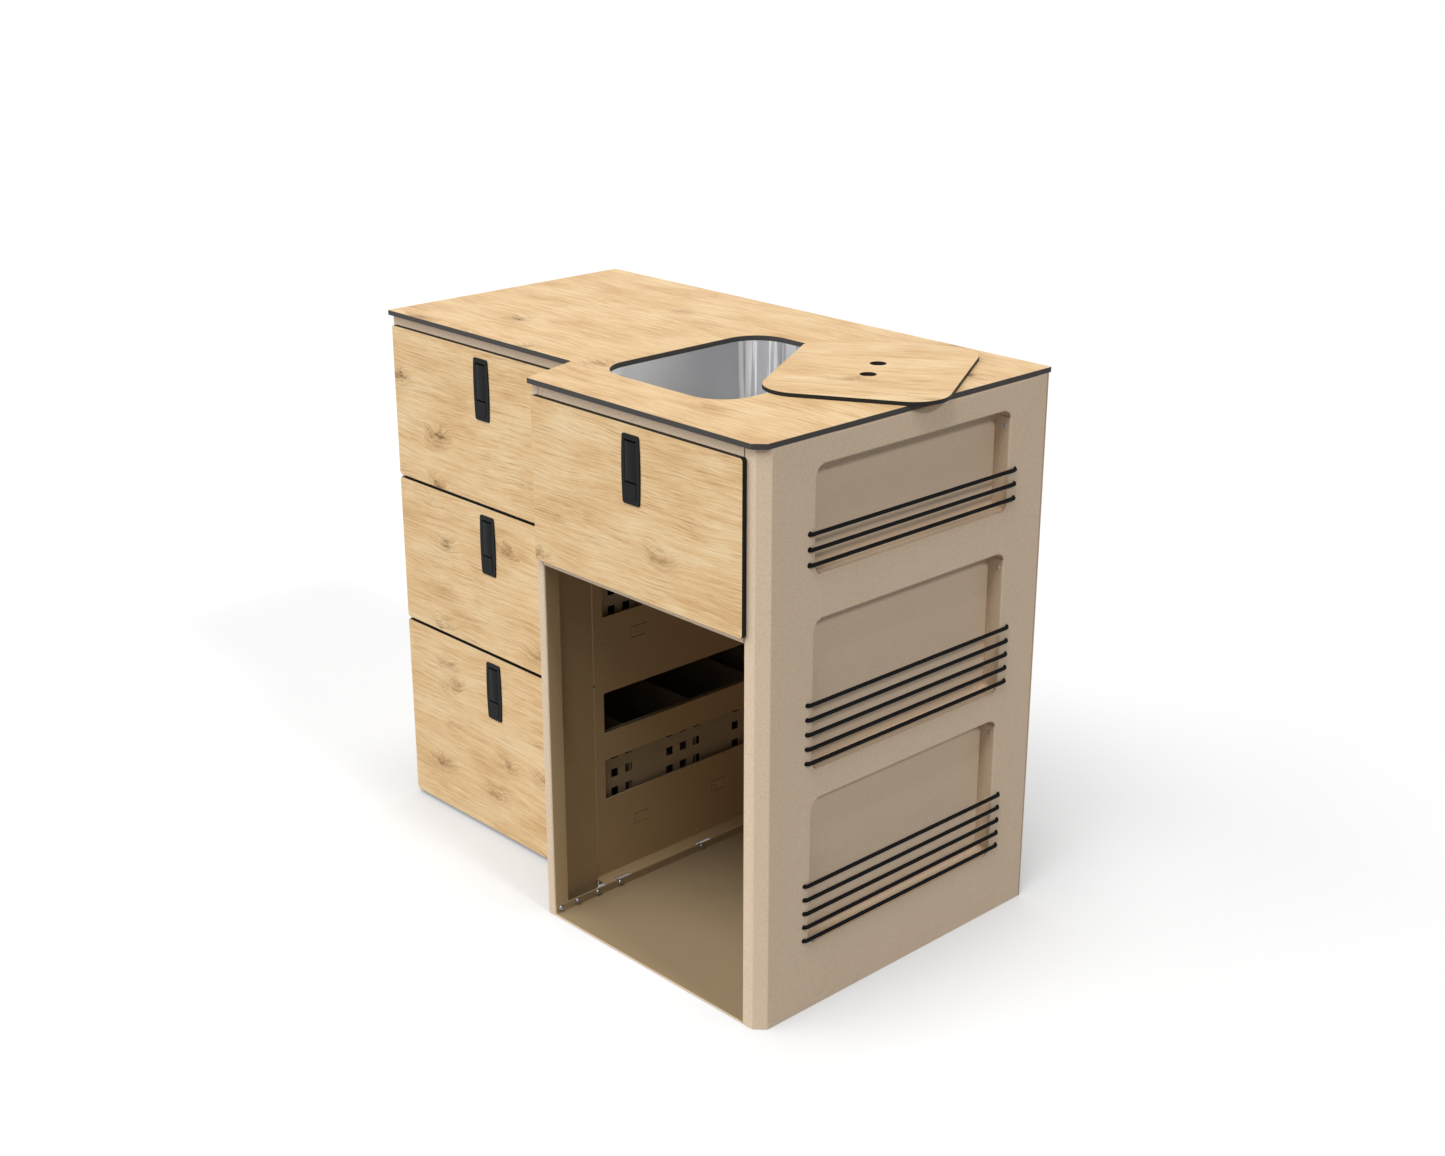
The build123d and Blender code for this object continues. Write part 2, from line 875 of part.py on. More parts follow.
def make_front_upright():
    upright_run = metal_left_y - upright_gap - metal_right_y
    lean = atan(upright_lean / upright_run)
    corner_x = upright_left + half / cos(lean) - half * tan(lean)
    end_x = upright_left + half / cos(lean) - upright_lean
    points = [
        (bay_left - half, metal_right_y + upright_depth),
        (bay_left - half, metal_right_y + half),
        (corner_x, metal_right_y + half),
        (end_x, metal_right_y + upright_run),
    ]
    post = folded_about_z(points, 0, top_underside)
    toe = block(
        (bay_left - sheet, metal_right_y + upright_depth - overrun, 0),
        (bay_left, metal_right_y + toe_reach, toe_height),
    )
    post = post + toe
    for along in upstand_screws:
        post = post - upstand_hole(along)
    return post


def make_carcass_screws():
    screws = []
    for along in upstand_screws:
        seat = (
            bay_left + sheet,
            metal_right_y + along,
            (tray_upstand + screw_head_radius) / 2,
        )
        screws.append(button_screw(seat, (1, 0, 0), 2 * sheet + screw_bite))
    for x, y in top_screw_places():
        seat = (x, y, top_underside - sheet)
        screws.append(button_screw(seat, (0, 0, -1), sheet + screw_bite - seam))
    for name in pocket_lows:
        screws.append(pocket_rivet(name))
    return screws


def make_rail(low, high, left, right, face):
    points = [
        (face + rail_depth, low + half),
        (face + half, low + half),
        (face + half, high - half),
        (face + rail_depth, high - half),
    ]
    return folded_about_x(points, left, right)


def strike_slot(drawer):
    reach = bolt_width / 2 + strike_margin
    near = drawer.face + bolt_setback - strike_margin
    far = drawer.face + bolt_setback + bolt_thickness + strike_margin
    rail_low = drawer.high - rail_lap
    low = (drawer.handle_x - reach, near, rail_low - overrun)
    high = (drawer.handle_x + reach, far, rail_low + bend_zone)
    return block(low, high)


def make_front_rails():
    left = side_face + front_flange + seam
    right = partition_face - front_flange - seam
    rails = []
    for name in ("left_upper", "left_middle", "left_lower"):
        drawer = drawers[name]
        low = drawer.high - rail_lap
        high = top_underside if name == "left_upper" else low + rail_height
        rails.append(make_rail(low, high, left, right, metal_left_y) - strike_slot(drawer))
    drawer = drawers["right"]
    low = drawer.high - rail_lap
    rail = make_rail(low, top_underside, bay_left + seam, bay_right - seam, metal_right_y)
    rails.append(rail - strike_slot(drawer))
    return rails


def make_runner_brackets():
    low = bracket_z - bracket_height / 2
    high = bracket_z + bracket_height / 2
    left_points = [
        (partition_face, low + half),
        (bay_left - half, low + half),
        (bay_left - half, high - half),
        (partition_face, high - half),
    ]
    start = metal_right_y + end_return_depth + seam
    bracket_end = panel_end - bracket_back_gap
    left = folded_about_y(left_points, metal_left_y + seam, bracket_end)
    tongue = block(
        (bay_left - sheet, metal_right_y + upright_depth + seam, bracket_z - tongue_height / 2),
        (bay_left, metal_left_y + flange, bracket_z + tongue_height / 2),
    )
    right_points = [
        (end_face - sheet, low + half),
        (bay_right + half, low + half),
        (bay_right + half, high - half),
        (end_face - sheet, high - half),
    ]
    right = folded_about_y(right_points, start, bracket_end)
    return [left + tongue, right]


# Drawers
class Drawer:
    # the places of one drawer's front, box, runners and handle
    def __init__(self, name, left, right, face, low, high, inner_left, inner_right):
        self.name = name
        self.left = left
        self.right = right
        self.face = face
        self.low = low
        self.high = high
        self.box_left = inner_left + runner_width
        self.box_right = inner_right - runner_width
        self.box_front = face + front_thickness
        self.box_low = low + box_lift_shares[name] * (high - low)
        self.box_high = self.box_low + box_height_shares[name] * (high - low)
        self.inner_left = inner_left
        self.inner_right = inner_right
        self.runner_z = self.box_low + runner_lift
        self.runner_y = face + front_thickness + front_seat + runner_setback
        self.handle_x = (left + right) / 2
        self.handle_z = high - bezel_drop


left_column = (side_face + sheet, partition_face - sheet)
left_sides = (side_face + front_side_gap, partition_face - front_side_gap)
fronts_height = fronts_top - front_floor_gap - 2 * front_gap
lower_top = front_floor_gap + lower_front_share * fronts_height
middle_low = lower_top + front_gap
middle_top = middle_low + middle_front_share * fronts_height
left_heights = {
    "left_upper": (middle_top + front_gap, fronts_top),
    "left_middle": (middle_low, middle_top),
    "left_lower": (front_floor_gap, lower_top),
}
drawers = {
    name: Drawer(name, *left_sides, left_front_y, low, high, *left_column)
    for name, (low, high) in left_heights.items()
}
drawers["right"] = Drawer(
    "right",
    upright_left + front_side_gap,
    bay_right + right_front_lap,
    front_edge,
    right_front_low,
    fronts_top,
    bay_left,
    bay_right,
)


def housing_hole(drawer):
    middle_z = drawer.handle_z - window_drop + housing_wall - housing_height / 2
    low = (drawer.handle_x - housing_width / 2 - fit, middle_z - housing_height / 2 - fit)
    high = (drawer.handle_x + housing_width / 2 + fit, middle_z + housing_height / 2 + fit)
    return low, high


def make_front(drawer):
    low = (drawer.left, drawer.low)
    high = (drawer.right, drawer.high)
    back = drawer.face + front_thickness
    panel = window_y(drawer.face, back, low, high, front_corner)
    panel = chamfer(panel.faces().sort_by(Axis.Y)[0].edges(), edge_ease)
    hole_low, hole_high = housing_hole(drawer)
    return panel - block(
        (hole_low[0], drawer.face - overrun, hole_low[1]),
        (hole_high[0], back + overrun, hole_high[1]),
    )


def perforations(drawer):
    holes = []
    first = drawer.box_front + box_hole_first_share * box_depth
    pitch = box_hole_pitch_share * box_depth
    lift = box_hole_lift_shares[drawer.name] * (drawer.box_high - drawer.box_low)
    for group in range(box_hole_groups):
        for column in range(box_hole_columns):
            y = first + (group * box_hole_group + column) * pitch
            for row in range(box_hole_row_counts[drawer.name]):
                z = drawer.box_low + lift + row * box_hole_pitch_z - box_hole / 2
                low = (drawer.box_left - overrun, y, z)
                high = (drawer.box_right + overrun, y + box_hole, z + box_hole)
                holes.append(block(low, high))
    return holes


def make_drawer_box(drawer):
    left, right = drawer.box_left, drawer.box_right
    front = drawer.box_front
    back = front + box_depth
    low, high = drawer.box_low, drawer.box_high
    box = block((left, front, low), (right, back, high))
    wall = thin_sheet
    box = box - block(
        (left + wall, front + wall, low + wall), (right - wall, back - wall, high - box_hem)
    )
    wall = 2 * thin_sheet
    box = box - block(
        (left + wall, front + wall, high - box_hem),
        (right - wall, back - wall, high + overrun),
    )
    hole_low, hole_high = housing_hole(drawer)
    if hole_low[1] < high:
        box = box - block(
            (hole_low[0] - strike_margin, front - overrun, hole_low[1] - strike_margin),
            (hole_high[0] + strike_margin, front + overrun, high + overrun),
        )
    return box - perforations(drawer)


def make_drawer_dividers(drawer):
    plates = []
    for step in range(divider_count):
        y = drawer.box_front + (divider_first_share + step * divider_pitch_share) * box_depth
        low = (drawer.box_left + thin_sheet + fit, y, drawer.box_low + thin_sheet)
        high = (
            drawer.box_right - thin_sheet - fit,
            y + thin_sheet,
            drawer.box_high - box_hem - fit,
        )
        plates.append(block(low, high))
    return plates


def runner_channel(web, lip_end, reach):
    # a channel seen from the front: web and lip end measured from the carcass, reach up and down
    bend = runner_bend + runner_wall / 2
    towards = 1 if lip_end > web else -1
    mid = web + towards * runner_wall / 2
    edge = reach - runner_wall / 2
    points = [(lip_end, -edge), (mid, -edge), (mid, edge), (lip_end, edge)]
    return folded_about_y(points, 0, box_depth, runner_wall, bend)


def runner_pair(drawer, channel):
    right = mirror(channel, about=Plane.YZ)
    return [
        Pos(drawer.inner_left, drawer.runner_y, drawer.runner_z) * channel,
        Pos(drawer.inner_right, drawer.runner_y, drawer.runner_z) * right,
    ]


fixed_reach = runner_height / 2
middle_reach = fixed_reach - runner_wall - runner_play
drawer_reach = middle_reach - runner_wall - runner_play
middle_web = runner_wall + runner_web_gap
drawer_lip = middle_web + runner_wall + runner_web_gap


def make_runner_fixed(drawer):
    return runner_pair(drawer, runner_channel(0, runner_width - runner_lip_back, fixed_reach))


def make_runner_middle(drawer):
    lip = runner_width - runner_lip_back + runner_web_gap
    return runner_pair(drawer, runner_channel(middle_web, lip, middle_reach))


def make_runner_drawer(drawer):
    return runner_pair(drawer, runner_channel(runner_width, drawer_lip, drawer_reach))


# Handle, drawn about the middle of the bezel's top edge on the front's face
crown_face = -bezel_proud - lever_proud
pivot_y = crown_face + barrel_radius
window_reach = housing_width / 2 - housing_wall


def make_bezel():
    side = bezel_width / 2
    middle = side + bezel_bulge
    outline = Curve() + [
        Line((-side, 0), (side, 0)),
        ThreePointArc((side, 0), (middle, -bezel_height / 2), (side, -bezel_height)),
        Line((side, -bezel_height), (-side, -bezel_height)),
        ThreePointArc((-side, -bezel_height), (-middle, -bezel_height / 2), (-side, 0)),
    ]
    face = make_face(outline)
    face = fillet(face.vertices(), bezel_corner)
    plate = extrude(Plane.XZ * face, bezel_proud)
    plate = chamfer(plate.faces().sort_by(Axis.Y)[0].edges(), edge_ease)
    top = -window_drop + housing_wall
    housing = block(
        (-housing_width / 2, 0, top - housing_height),
        (housing_width / 2, housing_depth, top),
    )
    hollow = block(
        (-window_reach, 0, -window_bottom),
        (window_reach, housing_depth - housing_wall, -window_drop),
    )
    bezel = plate + housing - hollow
    lever_window = block(
        (-window_reach, -bezel_proud - overrun, -button_top), (window_reach, 0, -window_drop)
    )
    reach = button_width / 2 + button_gap
    low = -button_bottom - button_gap
    cap = window_y(
        -bezel_proud - overrun, 0, (-reach, low), (reach, -button_top), button_corner
    )
    square = block(
        (-reach, -bezel_proud - overrun, -button_top - button_corner),
        (reach, 0, -button_top),
    )
    bezel = bezel - lever_window - cap - square
    pin = (-housing_width, pivot_y, -trunnion_drop)
    bezel = bezel - rod(pin, (1, 0, 0), trunnion_radius + trunnion_gap, 2 * housing_width)
    slot = block(
        (-bolt_width / 2 - fit, bolt_setback - fit, -window_drop - overrun),
        (bolt_width / 2 + fit, bolt_setback + bolt_thickness + fit, top + overrun),
    )
    return bezel - slot


def make_lever():
    length = trunnion_drop - lever_top
    front = pivot_y - barrel_radius
    side = lever_width / 2
    slab = block(
        (-side, front, -trunnion_drop), (side, front + lever_thickness, -lever_top)
    )
    barrel = rod((-side, pivot_y, -trunnion_drop), (1, 0, 0), barrel_radius, lever_width)
    crown = Curve() + [
        ThreePointArc((-side, front + lever_crown), (0, front), (side, front + lever_crown)),
        Line((side, front + lever_crown), (side, pivot_y + barrel_radius)),
        Line((side, pivot_y + barrel_radius), (-side, pivot_y + barrel_radius)),
        Line((-side, pivot_y + barrel_radius), (-side, front + lever_crown)),
    ]
    low = -trunnion_drop - barrel_radius
    crowned = extrude(Pos(0, 0, low) * make_face(crown), length + barrel_radius)
    lever = (slab + barrel) & crowned
    pin = rod(
        (-trunnion_reach, pivot_y, -trunnion_drop), (1, 0, 0), trunnion_radius, 2 * trunnion_reach
    )
    return lever + pin


def make_button():
    side = button_width / 2
    front = -bezel_proud - button_dish
    cap = window_y(
        front, button_gap, (-side, -button_bottom), (side, -button_top), button_corner
    )
    top = -button_top - button_gap
    square = block((-side, front, top - button_corner), (side, button_gap, top))
    square = square + block((-side, front, top - button_corner), (side, button_gap, -button_top))
    cap = cap + square
    cap = chamfer(cap.faces().sort_by(Axis.Y)[0].edges(), edge_ease)
    skirt = block(
        (-button_skirt / 2, button_gap, -window_bottom + button_gap),
        (button_skirt / 2, button_gap + button_depth, top),
    )
    return cap + skirt


def make_latch_bolt():
    tip = bolt_tip_rise
    bolt = block(
        (-bolt_width / 2, bolt_setback, tip - bolt_length),
        (bolt_width / 2, bolt_setback + bolt_thickness, tip),
    )
    nose = bolt.edges().filter_by(Axis.X).sort_by(Axis.Z)[-2:].sort_by(Axis.Y)[0]
    return chamfer(nose, bolt_nose)


# Every piece under its own name
carcass = {
    "worktop": make_worktop(),
    "sink_lid": make_sink_lid(),
    "sink_bowl": make_sink_bowl(),
    "sink_waste": make_sink_waste(),
    "waste_elbow": make_waste_elbow(),
    "sink_clips": make_sink_clips(),
    "end_panel": make_end_panel(),
    "left_side_panel": make_left_side_panel(),
    "partition_panel": make_partition_panel(),
    "left_floor_panel": make_left_floor_panel(),
    "back_panel": make_back_panel(),
    "bay_floor_tray": make_bay_floor_tray(),
    "bay_ceiling": make_bay_ceiling(),
    "front_upright": make_front_upright(),
    "front_rails": make_front_rails(),
    "runner_brackets": make_runner_brackets(),
    "carcass_screws": make_carcass_screws(),
    "drawer_dividers": make_drawer_dividers(drawers["left_lower"]),
}
pieces = dict(carcass)
for pocket in pocket_lows:
    pieces["pocket_tray_" + pocket] = make_pocket_tray(pocket)
    pieces["elastic_cord_" + pocket] = make_elastic_cord(pocket)
for name, drawer in drawers.items():
    handle_place = Pos(drawer.handle_x, drawer.face, drawer.handle_z)
    pieces["front_" + name] = make_front(drawer)
    pieces["drawer_box_" + name] = make_drawer_box(drawer)
    pieces["handle_bezel_" + name] = handle_place * make_bezel()
    pieces["handle_lever_" + name] = handle_place * make_lever()
    pieces["handle_button_" + name] = handle_place * make_button()
    pieces["latch_bolt_" + name] = handle_place * make_latch_bolt()
    pieces["runner_fixed_" + name] = make_runner_fixed(drawer)
    pieces["runner_middle_" + name] = make_runner_middle(drawer)
    pieces["runner_drawer_" + name] = make_runner_drawer(drawer)

os.makedirs("parts", exist_ok=True)
for name, piece in pieces.items():
    shape = Compound(children=piece) if isinstance(piece, list) else piece
    export_step(shape, "parts/" + name + ".step")
print("pieces", len(pieces))
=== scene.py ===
import json
import math
import bpy
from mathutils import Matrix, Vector

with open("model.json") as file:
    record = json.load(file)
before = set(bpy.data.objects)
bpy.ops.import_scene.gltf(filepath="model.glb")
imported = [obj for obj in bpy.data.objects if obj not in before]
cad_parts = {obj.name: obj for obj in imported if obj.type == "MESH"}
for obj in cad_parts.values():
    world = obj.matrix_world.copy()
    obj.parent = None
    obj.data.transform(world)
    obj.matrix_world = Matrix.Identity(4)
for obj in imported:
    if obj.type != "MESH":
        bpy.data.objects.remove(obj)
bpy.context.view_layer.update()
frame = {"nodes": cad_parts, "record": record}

nodes = frame["nodes"]
print("frame loaded:", len(nodes), "CAD nodes")

drawerNames = ["left_upper", "left_middle", "left_lower", "right"]


# Colours are written as they look on screen, from 0 to 255
def colour(red, green, blue):
    return [channelToLinear(value / 255) for value in (red, green, blue)] + [1.0]


def channelToLinear(value):
    knee, slope, offset, power = 0.04045, 12.92, 0.055, 2.4
    if value <= knee:
        return value / slope
    return ((value + offset) / (1 + offset)) ** power


# Camera, solved from the straight edges of the unit
cameraFacts = {
    "place": (2.3199, -2.0888, 1.6503),
    "turn": (69.802, 0.0, 46.618),
    "lens": 50.136,
    "sensor": 36.0,
    "reach": 60.0,
}


def makeCamera(facts):
    data = bpy.data.cameras.new("camera")
    data.lens = facts["lens"]
    data.sensor_width = facts["sensor"]
    data.sensor_fit = "HORIZONTAL"
    data.clip_end = facts["reach"]
    camera = bpy.data.objects.new("camera", data)
    camera.location = facts["place"]
    camera.rotation_euler = [math.radians(angle) for angle in facts["turn"]]
    bpy.context.collection.objects.link(camera)
    bpy.context.scene.camera = camera
    print("camera placed")


# A shader socket, so that shader maths reads as plain expressions
class Wire:
    def __init__(self, tree, socket=None):
        self.tree = tree
        self.socket = socket

    def node(self, kind, settings=None, sockets=None, out=0):
        # any node: its settings first, then the values or links of its sockets
        made = self.tree.nodes.new(kind)
        for name, value in (settings or {}).items():
            if name == "stops":
                setStops(made.color_ramp, value)
            else:
                setattr(made, name, value)
        for name, value in (sockets or {}).items():
            if isinstance(value, Wire):
                self.tree.links.new(value.socket, made.inputs[name])
            else:
                made.inputs[name].default_value = value
        return Wire(self.tree, made.outputs[out] if made.outputs else None)

    def maths(self, operation, *others):
        sockets = {0: self}
        for place, value in enumerate(others, 1):
            sockets[place] = value
        return self.node("ShaderNodeMath", {"operation": operation}, sockets)

    def __add__(self, other):
        return self.maths("ADD", other)

    def __radd__(self, other):
        return self.maths("ADD", other)

    def __sub__(self, other):
        return self.maths("SUBTRACT", other)

    def __rsub__(self, other):
        return self.maths("MULTIPLY_ADD", -1.0, other)

    def __mul__(self, other):
        return self.maths("MULTIPLY", other)

    def __rmul__(self, other):
        return self.maths("MULTIPLY", other)

    def sine(self):
        return self.maths("SINE")

    def size(self):
        return self.maths("ABSOLUTE")

    def above(self, level, softness):
        # 0 below the level and 1 above it, with a soft step between
        return self.node(
            "ShaderNodeMapRange",
            {"interpolation_type": "SMOOTHSTEP"},
            {0: self, 1: level - softness, 2: level + softness},
        )

    def part(self, name):
        split = self.node("ShaderNodeSeparateXYZ", sockets={0: self})
        return Wire(self.tree, split.socket.node.outputs[name])

    def point(self, x, y, z):
        return self.node("ShaderNodeCombineXYZ", sockets={0: x, 1: y, 2: z})

    def noise(self, scale=1.0, detail=2.0, rough=0.5):
        sockets = {"Vector": self, "Scale": scale, "Detail": detail, "Roughness": rough}
        return self.node("ShaderNodeTexNoise", sockets=sockets)

    def mix(self, first, second):
        # a colour mix whose factor is this wire
        settings = {"data_type": "RGBA"}
        return self.node("ShaderNodeMix", settings, {0: self, 6: first, 7: second}, out=2)

    def colours(self, blend, other):
        # this colour combined in full with another
        settings = {"data_type": "RGBA", "blend_type": blend}
        return self.node("ShaderNodeMix", settings, {0: 1.0, 6: self, 7: other}, out=2)


def setStops(ramp, stops):
    while len(ramp.elements) < len(stops):
        ramp.elements.new(0.5)
    for element, (place, value) in zip(ramp.elements, stops):
        element.position = place
        element.color = value


def newMaterial(name):
    # a material, its shader, and the two wires that the recipes start from
    material = bpy.data.materials.new(name)
    material.use_nodes = True
    tree = material.node_tree
    shader = tree.nodes["Principled BSDF"]
    start = Wire(tree)
    place = start.node("ShaderNodeTexCoord", out=3)
    normal = start.node("ShaderNodeTexCoord", out=1)
    return material, shader, place, normal


def feed(shader, name, wire):
    shader.id_data.links.new(wire.socket, shader.inputs[name])


def emboss(shader, wire, facts):
    # fine relief from a height wire
    sockets = {"Strength": facts["relief"], "Distance": facts["reliefDepth"], "Height": wire}
    feed(shader, "Normal", wire.node("ShaderNodeBump", sockets=sockets))


def centred(wire):
    # a noise runs from 0 to 1, so this swings about 0
    return wire - 0.5


# Oak laminate: fine grain, pores and knots, and a black core at the cut edges
oakFacts = {
    "pale": colour(232, 207, 165),
    "mid": colour(220, 185, 136),
    "tan": colour(188, 146, 96),
    "brown": colour(142, 104, 64),
    "crack": colour(86, 60, 38),
    "midAt": 0.45,
    "seedAlong": 0.731,
    "seedAcross": 0.377,
    "grainBend": 0.05,
    "haloBend": 0.014,
    "haloShade": 0.14,
    "dashLeast": 0.12,
    "dashGrouped": 0.42,
    "roughness": 0.5,
    "streakRoughness": 0.16,
    "edgeRoughness": 0.08,
    "specular": 0.2,
    "relief": 0.2,
    "reliefDepth": 0.00025,
    "streakRelief": 0.6,
    "fineRelief": 0.5,
    "dashRelief": 0.8,
    "faceLimit": 0.8,
    "faceSoftness": 0.02,
    "coreSpeck": 900.0,
}
# how each board differs: its share without knots, its tone, and the core at its edge
# the worktop and the lid take a darker tone than the fronts: painted shade that holds down their
# brighter lit tops
boardFacts = {
    "worktop": {
        "plainShare": 0.72,
        "shade": 0.46,
        "contrast": 1.08,
        "core": colour(46, 45, 44),
        "coreLit": colour(72, 70, 68),
    },
    "lid": {
        "plainShare": 0.66,
        "shade": 0.44,
        "contrast": 1.06,
        "core": colour(14, 13, 12),
        "coreLit": colour(36, 34, 32),
    },
    "front": {
        "plainShare": 0.52,
        "shade": 0.38,
        "contrast": 1.0,
        "core": colour(4, 4, 5),
        "coreLit": colour(16, 16, 16),
    },
}
knotFacts = {
    "along": 6.6,
    "across": 12.0,
    "wobble": 0.52,
    "wobbleScale": 2.4,
    "wobbleDetail": 3.0,
    "chanceSoftness": 0.02,
    "faintest": 0.4,
    "haloRadius": 0.20,
    "haloSoftness": 0.17,
    "heartRadius": 0.085,
    "heartSoftness": 0.055,
    "rings": 95.0,
    "ringWobble": 16.0,
    "ringTint": 0.30,
    "haloDash": 0.40,
    "heartTint": 0.44,
    "haloCrack": 0.22,
    "heartCrack": 0.62,
}
# layers of grain, with their repeats per metre along and across the board
grainLayers = {
    "bend": {"along": 2.4, "across": 5.0, "detail": 3.0, "rough": 0.55, "seed": 1.0},
    "broad": {"along": 2.6, "across": 34.0, "detail": 6.0, "rough": 0.62, "seed": 7.0},
    "streak": {"along": 4.6, "across": 210.0, "detail": 5.0, "rough": 0.60, "seed": 3.0},
    "fine": {"along": 16.0, "across": 700.0, "detail": 4.0, "rough": 0.66, "seed": 9.0},
    "cloud": {"along": 8.0, "across": 15.0, "detail": 3.0, "rough": 0.55, "seed": 2.0},
    "group": {"along": 6.0, "across": 14.0, "detail": 2.0, "rough": 0.5, "seed": 6.0},
    "dash": {"along": 12.0, "across": 330.0, "detail": 4.0, "rough": 0.62, "seed": 4.0},
    "split": {"along": 42.0, "across": 150.0, "detail": 5.0, "rough": 0.7, "seed": 9.0},
}
grainWeights = {"broad": 0.6, "streak": 1.2, "fine": 2.1, "cloud": 1.1}  # share in the tone
grainSteps = {"group": (0.54, 0.10), "dash": (0.60, 0.06), "split": (0.54, 0.06)}  # cut to marks


def makeGrain(layerName, along, across, seed):
    layer = grainLayers[layerName]
    spread = along.point(along * layer["along"], across * layer["across"], seed * layer["seed"])
    grain = spread.noise(1.0, layer["detail"], layer["rough"])
    return grain.above(*grainSteps[layerName]) if layerName in grainSteps else grain


def makeKnots(along, across, seed, plainShare):
    # small spots spread over the board: how far each point is from one, and its two zones
    facts = knotFacts
    place = along.point(along * facts["along"], across * facts["across"], seed)
    bent = place.noise(facts["wobbleScale"], facts["wobbleDetail"])
    wobble = (facts["wobble"], facts["wobble"], 0.0)
    place = place.node(
        "ShaderNodeVectorMath", {"operation": "MULTIPLY_ADD"}, {0: bent, 1: wobble, 2: place}
    )
    flat = {"voronoi_dimensions": "2D"}
    spot = place.node("ShaderNodeTexVoronoi", flat, {"Vector": place, "Scale": 1.0})
    luck = Wire(spot.tree, spot.socket.node.outputs["Color"])
    strength = luck.part("Y") * (1.0 - facts["faintest"]) + facts["faintest"]
    chosen = luck.part("X").above(plainShare, facts["chanceSoftness"]) * strength
    halo = (1.0 - spot.above(facts["haloRadius"], facts["haloSoftness"])) * chosen
    heart = (1.0 - spot.above(facts["heartRadius"], facts["heartSoftness"])) * chosen
    return spot, halo, heart


def makeOak(name, facing, seed, boardName, turn=0.0):
    facts, board = oakFacts, boardFacts[boardName]
    material, shader, place, normal = newMaterial(name)
    if turn:
        spin = {"rotation_type": "Z_AXIS"}
        place = place.node("ShaderNodeVectorRotate", spin, {"Vector": place, "Angle": -turn})
    along = place.part("X") + seed * facts["seedAlong"]
    across = place.part("Z" if facing == "Y" else "Y") + seed * facts["seedAcross"]
    spot, halo, heart = makeKnots(along, across, seed, board["plainShare"])

    # the grain runs along the board and is swept round the knots
    bend = makeGrain("bend", along, across, seed)
    bent = across + bend * facts["grainBend"] + halo * facts["haloBend"]
    broad = makeGrain("broad", along, bent, seed)
    streak = makeGrain("streak", along, bent, seed)
    fine = makeGrain("fine", along, bent, seed)
    cloud = makeGrain("cloud", along, across, seed)
    shown = {"broad": broad, "streak": streak, "fine": fine, "cloud": cloud}
    shade = sum(centred(wire) * grainWeights[key] for key, wire in shown.items())
    shade = shade * board["contrast"] + halo * facts["haloShade"] + board["shade"]
    stops = ((0.0, facts["pale"]), (facts["midAt"], facts["mid"]), (1.0, facts["tan"]))
    grain = shade.node("ShaderNodeValToRGB", {"stops": stops}, {0: shade})

    # dark dashes in loose groups, then rings, heart and cracks of the knots
    knot = knotFacts
    group = makeGrain("group", along, across, seed)
    dash = makeGrain("dash", along, bent, seed)
    split = makeGrain("split", along, bent, seed)
    wave = (spot * knot["rings"] + broad * knot["ringWobble"]).sine()
    ring = (wave * 0.5 + 0.5) * halo
    grain = (dash * (facts["dashLeast"] + group * facts["dashGrouped"])).mix(grain, facts["brown"])
    grain = (ring * knot["ringTint"] + halo * dash * knot["haloDash"]).mix(grain, facts["brown"])
    grain = (heart * knot["heartTint"]).mix(grain, facts["brown"])
    cracked = split * (halo * knot["haloCrack"] + heart * knot["heartCrack"])
    grain = cracked.mix(grain, facts["crack"])

    # faces that don't look the board's way are cut edges, and show the black core
    face = normal.part(facing).size().above(facts["faceLimit"], facts["faceSoftness"])
    speck = place.noise(facts["coreSpeck"])
    feed(shader, "Base Color", face.mix(speck.mix(board["core"], board["coreLit"]), grain))
    rough = facts["roughness"] + centred(streak) * facts["streakRoughness"]
    feed(shader, "Roughness", rough + (1.0 - face) * facts["edgeRoughness"])
    height = streak * facts["streakRelief"] + fine * facts["fineRelief"] - dash * facts["dashRelief"]
    emboss(shader, height * face + speck * (1.0 - face), facts)
    shader.inputs["Specular IOR Level"].default_value = facts["specular"]
    return material


# Fine-texture powder coat on the folded sheets. The inside of the open bay, given
# by its two corners in metres, has painted shade: there the coat is darker than on the outer sheets
coatFacts = {
    "base": colour(228, 206, 180),
    "deep": colour(200, 178, 152),
    # bay: the colour of the painted shade that darkens the coat inside the bay
    "bay": colour(199, 190, 166),
    "bayLow": (0.0047, -0.2985, 0.0),
    "bayHigh": (0.4715, 0.3022, 0.607),
    "baySoftness": 0.0004,
    "uprightEnd": 0.04,
    "outwardFrom": -0.5,
    "outwardSoftness": 0.2,
    "grit": 720.0,
    "gritRough": 0.65,
    "gritStep": (0.5, 0.2),
    "gritShare": 0.8,
    "soft": 9.0,
    "detail": 3.0,
    "roughness": 0.62,
    "gritRoughness": 0.2,
    "relief": 0.35,
    "reliefDepth": 0.00022,
    "specular": 0.35,
}
# painted shade: the drawer boxes take a darker copy of the coat
shadedBoxFacts = dict(coatFacts, base=colour(162, 145, 121), deep=colour(148, 132, 108))
# painted shade: the bay floor has its own colour for the painted shade inside the bay
shadedTrayFacts = dict(coatFacts, bay=colour(174, 169, 152))


def makeBayShadeMask(place, normal, facts):
    # the region inside the bay where the coat gets painted shade
    softness = facts["baySoftness"]
    bayShadeMask = 1.0
    for axis, low, high in zip("XYZ", facts["bayLow"], facts["bayHigh"]):
        along = place.part(axis)
        bayShadeMask = along.above(low, softness) * (1.0 - along.above(high, softness)) * bayShadeMask
    # the upright's outer wall looks away from the bay and keeps the plain coat, without painted
    # shade
    outward = 1.0 - normal.part("X").above(facts["outwardFrom"], facts["outwardSoftness"])
    atUpright = 1.0 - place.part("X").above(facts["uprightEnd"], softness)
    return bayShadeMask * (1.0 - outward * atUpright)


